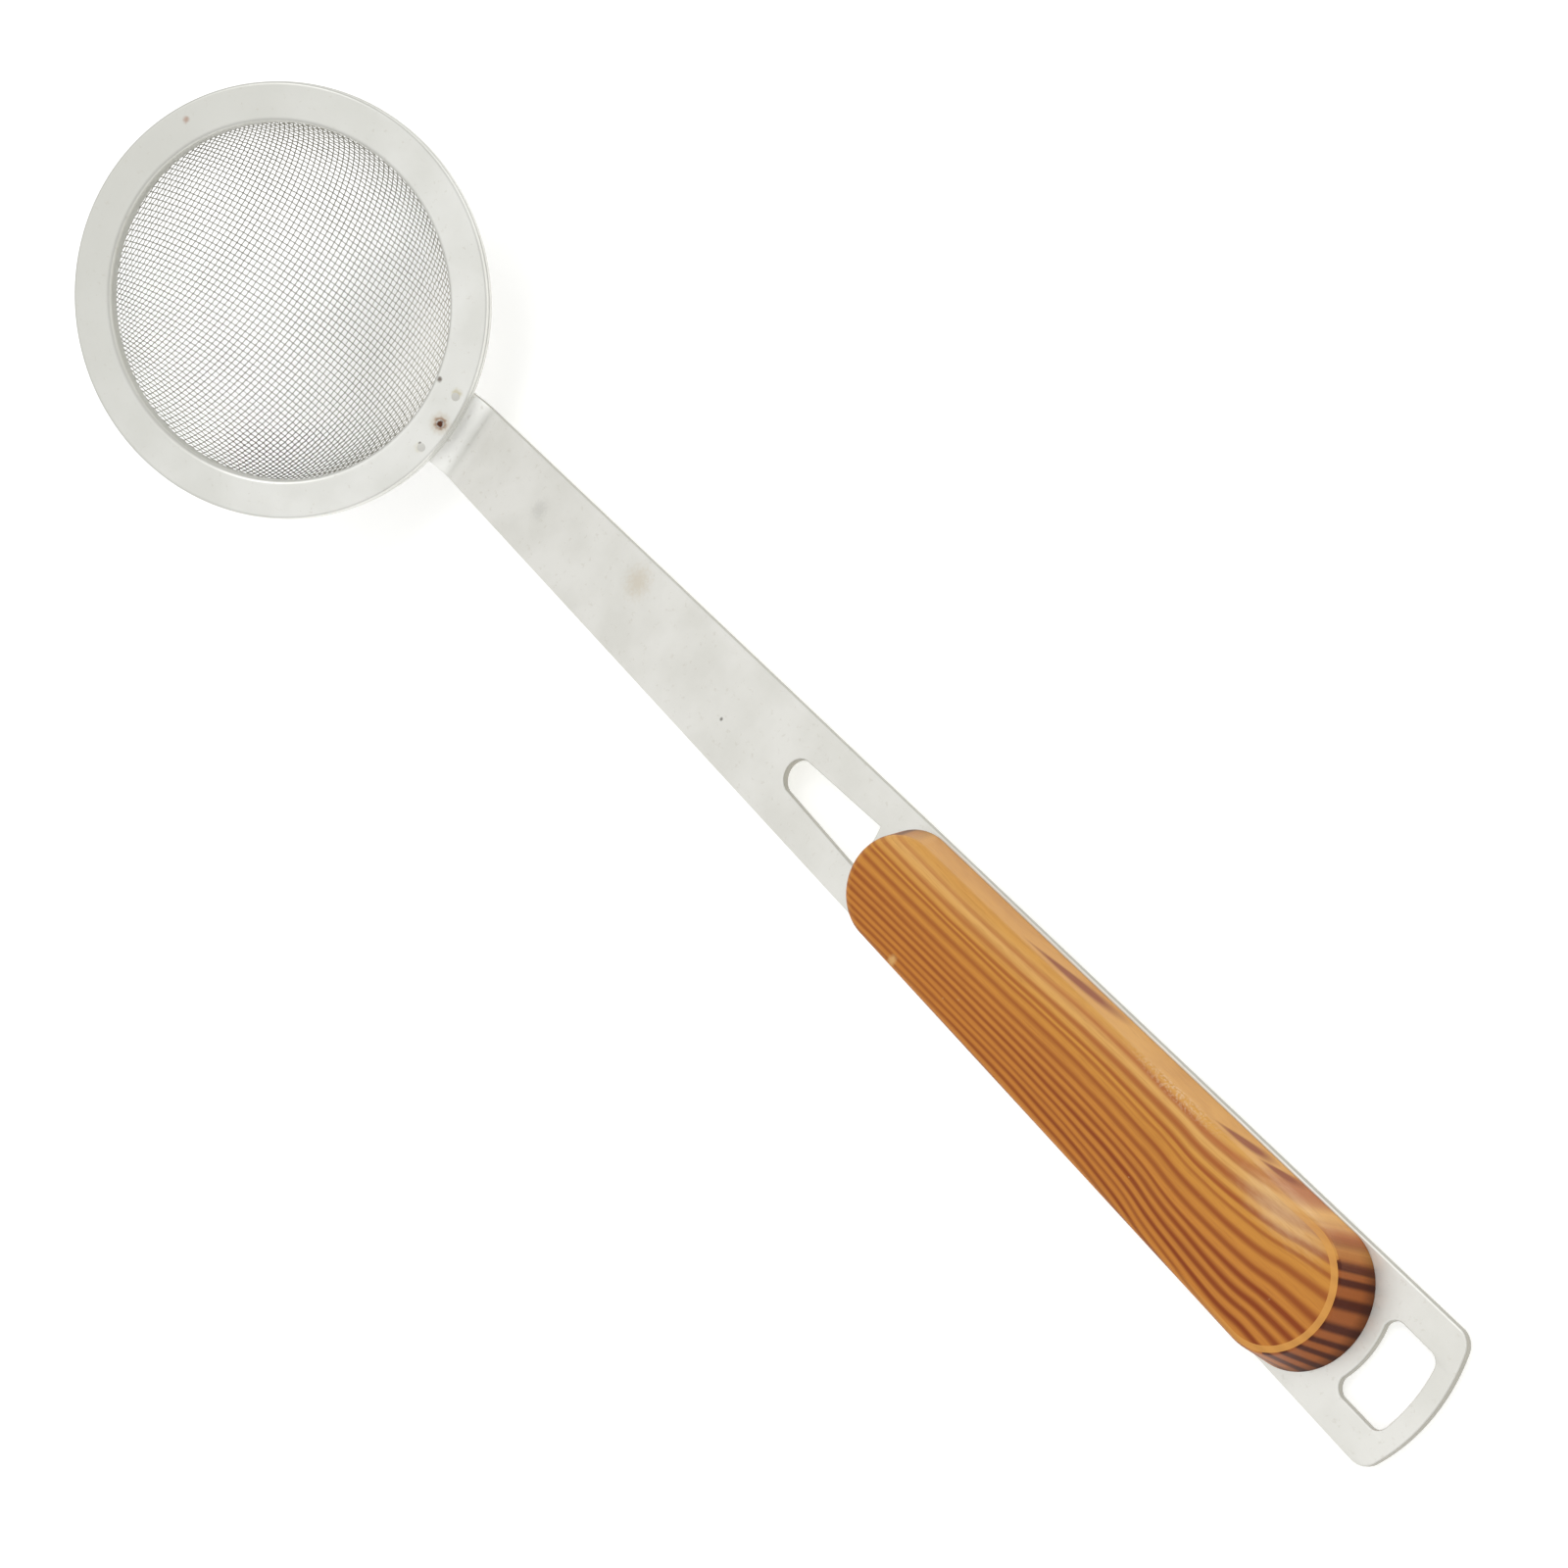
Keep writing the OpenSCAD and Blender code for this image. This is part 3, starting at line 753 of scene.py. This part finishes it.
def flame(tree, coords, s, z, half_len, slope):
    """A long slanting mask on the wall at +Y, thin at its near end and blunt at its far end."""
    thick, wall = 2.6, 7.0
    run = add(tree, "ShaderNodeVectorMath", {0: coords, 1: (1 / half_len, 0, 0)},
              operation="DOT_PRODUCT")
    rise = add(tree, "ShaderNodeVectorMath", {0: coords, 1: (-slope / thick, 0, 1 / thick)},
               operation="DOT_PRODUCT")
    ahead = math_node(tree, "SUBTRACT", run.outputs["Value"], s / half_len)
    off = math_node(tree, "SUBTRACT", rise.outputs["Value"], (z - slope * s) / thick)
    # Its thickness, from a fifth at the near end to full at the far end
    swell = math_node(tree, "MAXIMUM", math_node(tree, "MULTIPLY_ADD", ahead, 0.4, 0.6), 0.2)
    spot = add(tree, "ShaderNodeCombineXYZ",
               {"X": ahead, "Y": math_node(tree, "DIVIDE", off, swell)})
    away = add(tree, "ShaderNodeVectorMath", {0: spot.outputs["Vector"]}, operation="LENGTH")
    near = spread(tree, away.outputs["Value"], 0.5, 1.1, 1.0, 0.0)
    outer = math_node(tree, "GREATER_THAN", axis(tree, coords, "Y"), wall)
    return math_node(tree, "MULTIPLY", near, outer)


def squeezed_patch(tree, mm, centre, squeeze, inner, outer):
    """A patch that is drawn out along the handle."""
    x, y, z = centre
    drawn = add(tree, "ShaderNodeMapping", {"Vector": mm, "Scale": (squeeze, 1, 1)})
    return patch(tree, drawn.outputs["Vector"], (x * squeeze, y, z), inner, outer, 0.2)


def worn(tree, wood, mm):
    """Scuffs along the edge at +Y, a nick near the slot, and small pale dents."""
    band = squeezed_patch(tree, mm, (188.5, 9.1, 6.8), 0.14, 0.3, 1.7)
    scuffs = math_node(tree, "MULTIPLY", band, specks(tree, mm, 2.8, 0.5))
    wood = tint(tree, wood, scuffs, "#E8C8A4", 0.6)
    wood = tint(tree, wood, patch(tree, mm, (139.2, -7.4, 6.8), 0.2, 1.1), "#DDB070", 0.8)
    return tint(tree, wood, specks(tree, mm, 0.6, 0.72), "#E2BE90", 0.6)


def pine():
    """Oiled pine, sawn with the grain: amber with red-brown summer wood in long fanning lines.

    The growth layers stand almost upright in the scale, so they run down its end walls, where
    the cut ends drink more oil and look darker, and painted shade darkens them further."""
    mat, tree, shader, mm = material("oiled pine", HANDLE)
    flow, side, gap = growth_layers(tree, mm)
    wood = sawn_face(tree, mm, flow, side, gap)
    # Where a layer grazes the wall it shows as a dark flame
    for s, z, half_len, slope in ((164.0, 3.6, 10.0, -0.17), (200.5, 3.6, 5.0, -0.34),
                                  (207.2, 2.8, 3.4, -0.5)):
        wood = tint(tree, wood, flame(tree, mm, s, z, half_len, slope), "#8A3C14", 0.95)
    # A painted sheen near the far corner
    painted_sheen = squeezed_patch(tree, mm, (213.0, 7.6, 6.0), 0.35, 0.3, 4.2)
    wood = tint(tree, wood, painted_sheen, "#F0CFA0", 0.55)
    # Long soft fibres, and short fine ones that also stand out a little
    soft = spread(tree, stretched_noise(tree, flow, (0.05, 2.4, 1.0), 3.0), 0.45, 0.75, 0.0, 0.5)
    wood = tint(tree, wood, soft, "#A35F2A", 0.7)
    fibre = stretched_noise(tree, mm, (0.3, 7.0, 7.0), 4.0)
    wood = tint(tree, wood, spread(tree, fibre, 0.5, 0.8, 0.0, 0.35), "#9A5A2A")
    wood = worn(tree, wood, mm)
    # The top of the rounded edge is rubbed pale, most of all at the far end
    along, up = axis(tree, mm, "X"), axis(tree, mm, "Z")
    arris = add(tree, "ShaderNodeAttribute", attribute_name="arris").outputs["Fac"]
    crest = math_node(tree, "MULTIPLY", arris, math_node(tree, "GREATER_THAN", up, GRIP_T - 0.38))
    rubbed = math_node(tree, "MULTIPLY", crest, spread(tree, along, 206.0, 222.0, 0.12, 0.75))
    wood = tint(tree, wood, rubbed, "#DDA052")
    # The cut ends, darkened as end grain and with painted shade, reach up to it
    ends = add(tree, "ShaderNodeAttribute", attribute_name="end_grain_and_shade").outputs["Fac"]
    below = math_node(tree, "MULTIPLY", math_node(tree, "SUBTRACT", arris, crest),
                      math_node(tree, "GREATER_THAN", along, 223.0))
    wood = blend(tree, wood, cut_end(tree, mm, gap), math_node(tree, "MAXIMUM", ends, below))
    tree.links.new(wood, shader.inputs["Base Color"])
    shader.inputs["IOR"].default_value = 1.5
    shader.inputs["Specular IOR Level"].default_value = 0.18
    shader.inputs["Roughness"].default_value = 0.42
    bump = add(tree, "ShaderNodeBump", {"Height": fibre, "Strength": 0.2, "Distance": 0.0001})
    tree.links.new(bump.outputs["Normal"], shader.inputs["Normal"])
    return mat


def dress(obj, mat):
    obj.data.materials.clear()
    obj.data.materials.append(mat)


# ---------------------------------------------------------------- the strainer


rings = [upper_ring(), lower_ring()]
cloth_pieces = list(cloth())
handle = strap()
scale = wooden_scale()
welds = list(weld_marks())

for pieces, coat in ((rings, rim_steel()), (cloth_pieces, wire_steel()),
                            ([handle], strap_steel()), ([scale], pine()), (welds, weld_rust())):
    for piece in pieces:
        dress(piece, coat)
screw_finish = screw_steel()
for socket in frame["nodes"]["grip_screws"].material_slots:
    socket.material = screw_finish


# ---------------------------------------------------------------- light, floor and camera


def floor():
    """Plain white paper, lit from beneath as on a light table, so it throws no hard shadow."""
    deselect()
    bpy.ops.mesh.primitive_plane_add(size=6, location=(0, 0, -0.0002))
    obj = bpy.context.object
    obj.name = "floor"
    mat = bpy.data.materials.new("white paper")
    mat.use_nodes = True
    shader = mat.node_tree.nodes["Principled BSDF"]
    shader.inputs["Base Color"].default_value = colour("#F4F4F2")
    shader.inputs["Roughness"].default_value = 0.9
    shader.inputs["Emission Color"].default_value = colour("#FFFFFF")
    shader.inputs["Emission Strength"].default_value = 0.35
    dress(obj, mat)


def studio():
    """A white room, brighter overhead than round the walls."""
    world = bpy.data.worlds.new("studio")
    world.use_nodes = True
    tree = world.node_tree
    direction = add(tree, "ShaderNodeTexCoord").outputs["Generated"]
    brightness = spread(tree, axis(tree, direction, "Z"), 0.0, 1.0, 0.55, 1.08)
    tree.links.new(brightness, tree.nodes["Background"].inputs["Strength"])
    tree.nodes["Background"].inputs["Color"].default_value = colour("#FFFFFF")
    bpy.context.scene.world = world


def lamp(name, place, aim, size, power):
    light = bpy.data.lights.new(name, "AREA")
    light.size = size
    light.energy = power
    obj = bpy.data.objects.new(name, light)
    bpy.context.collection.objects.link(obj)
    obj.location = place
    obj.rotation_euler = (Vector(aim) - Vector(place)).to_track_quat("-Z", "Y").to_euler()


def camera():
    """A long lens above the bowl's side, rolled so that the handle runs down to the right.

    Its directions and its place, in millimetres, are in the rim's frame."""
    turned_rim = RIM.to_3x3().normalized()
    view = turned_rim @ Vector((-0.0621, -0.22953, -0.97132))
    up = turned_rim @ Vector((-0.59936, 0.78676, -0.1476))
    right = view.cross(up).normalized()
    lens = bpy.data.cameras.new("camera")
    lens.lens = 76.5
    lens.sensor_width = 36
    lens.clip_start = 0.01
    obj = bpy.data.objects.new("camera", lens)
    bpy.context.collection.objects.link(obj)
    turn = Matrix((right, right.cross(view), -view)).transposed().to_4x4()
    turn.translation = RIM @ Vector((155.126, 116.553, 554.282))
    obj.matrix_world = turn
    bpy.context.scene.camera = obj


floor()
camera()
lamp("key softbox", (-0.25, 0.6, 1.5), (-0.1, 0, 0), 0.5, 1.6)
studio()
bpy.context.scene.view_settings.view_transform = "Standard"
